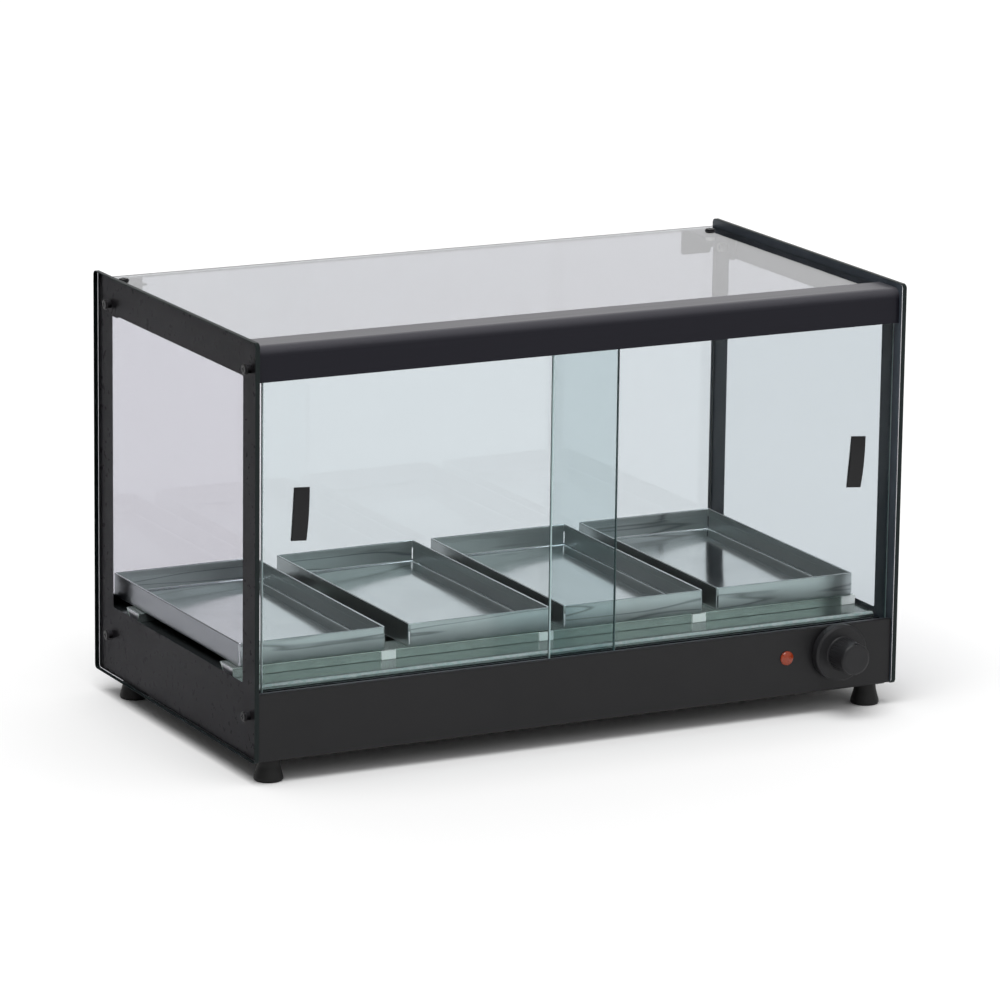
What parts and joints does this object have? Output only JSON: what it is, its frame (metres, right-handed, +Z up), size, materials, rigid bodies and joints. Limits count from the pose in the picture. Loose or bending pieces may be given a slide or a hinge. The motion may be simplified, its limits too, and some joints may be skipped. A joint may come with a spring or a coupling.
{
  "type": "hot food display case",
  "caption": "Countertop heated glass display case with sliding doors at the operator side, a mirror steel deck with lift-out trays, and a dial thermostat.",
  "frame": {"origin": "on the table under the middle of the bounding box, knob, cable gland and screw heads included", "axes": "+X to the operator's right along the width, +Y away from the operator, from the sliding doors towards the back glass, +Z up"},
  "size_m": [0.6036, 0.369, 0.3655],
  "materials": {
    "clear_glass": "polished tempered float glass, faint green edge",
    "black_enamel": "screen-printed black enamel, glossy through the glass",
    "black_powder_coat": "black satin powder coat",
    "black_anodised": "black anodised extrusion, satin",
    "mirror_stainless": "bright annealed stainless sheet, near mirror",
    "satin_stainless": "stainless sheet, satin",
    "galvanised_steel": "galvanised sheet, dull",
    "plated_steel": "zinc plated",
    "black_steel": "black oxide screw",
    "element_sheath": "heat-darkened stainless tube",
    "black_plastic": "black moulded phenolic, satin",
    "nylon": "black nylon",
    "white_ceramic": "glazed steatite",
    "amber_lens": "translucent orange, faceted",
    "black_rubber": "moulded rubber",
    "copper": "drawn copper tube",
    "lead_insulation": "silicone rubber insulation"
  },
  "bodies": {
    "case": {"left_side_glass": "clear_glass", "right_side_glass": "clear_glass", "top_glass": "clear_glass", "back_glass": "clear_glass", "left_enamel_border": "black_enamel", "right_enamel_border": "black_enamel", "top_front_rail": "black_anodised", "rail_glazing_strip": "black_rubber", "lower_door_track": "black_anodised", "left_corner_bracket": "black_powder_coat", "right_corner_bracket": "black_powder_coat", "back_glass_pads": "black_rubber", "glass_screws": "black_steel", "glass_bushes": "nylon", "threaded_inserts": "plated_steel", "front_panel": "black_powder_coat", "rear_panel": "black_powder_coat", "back_glass_channel": "black_anodised", "left_end_plate": "galvanised_steel", "right_end_plate": "galvanised_steel", "bottom_cover": "black_powder_coat", "cover_screws": "plated_steel", "deck": "mirror_stainless", "front_tray_support": "satin_stainless", "rear_tray_support": "satin_stainless", "foot_front_left": "black_rubber", "foot_front_right": "black_rubber", "foot_rear_left": "black_rubber", "foot_rear_right": "black_rubber", "foot_screws": "plated_steel", "foot_nuts": "plated_steel", "thermostat_body": "white_ceramic", "thermostat_nut": "plated_steel", "thermostat_bulb": "copper", "thermostat_capillary": "copper", "bulb_clips": "plated_steel", "pilot_lamp_lens": "amber_lens", "pilot_lamp_body": "nylon", "heating_element": "element_sheath", "element_insulators": "white_ceramic", "element_clamp_bars": "galvanised_steel", "clamp_studs": "plated_steel", "hex_nuts": "plated_steel", "heat_reflector": "galvanised_steel", "terminal_block": "white_ceramic", "earth_stud": "plated_steel", "cable_gland": "nylon", "gland_locknut": "nylon", "wiring_leads": "lead_insulation"},
    "left_door": {"left_door_glass": "clear_glass", "left_door_pull": "black_plastic"},
    "right_door": {"right_door_glass": "clear_glass", "right_door_pull": "black_plastic"},
    "thermostat_dial": {"thermostat_knob": "black_plastic", "thermostat_shaft": "plated_steel"},
    "food_tray_1": {"food_tray_1": "mirror_stainless"},
    "food_tray_2": {"food_tray_2": "mirror_stainless"},
    "food_tray_3": {"food_tray_3": "mirror_stainless"},
    "food_tray_4": {"food_tray_4": "mirror_stainless"}
  },
  "joints": [
    {"name": "left_door_slide", "type": "slide", "parent": "case", "child": "left_door", "axis": [1, 0, 0], "range_m": [-0.009, 0.257]},
    {"name": "right_door_slide", "type": "slide", "parent": "case", "child": "right_door", "axis": [1, 0, 0], "range_m": [-0.265, 0]},
    {"name": "thermostat_turn", "type": "hinge", "parent": "case", "child": "thermostat_dial", "pos_m": [0.243, -0.1545, 0.053], "axis": [0, 1, 0], "range_deg": [0, 300]},
    {"name": "tray_1_lift", "type": "slide", "parent": "case", "child": "food_tray_1", "axis": [0, 0, 1], "range_m": [0, 0.08]},
    {"name": "tray_2_lift", "type": "slide", "parent": "case", "child": "food_tray_2", "axis": [0, 0, 1], "range_m": [0, 0.08]},
    {"name": "tray_3_lift", "type": "slide", "parent": "case", "child": "food_tray_3", "axis": [0, 0, 1], "range_m": [0, 0.08]},
    {"name": "tray_4_lift", "type": "slide", "parent": "case", "child": "food_tray_4", "axis": [0, 0, 1], "range_m": [0, 0.08]}
  ]
}
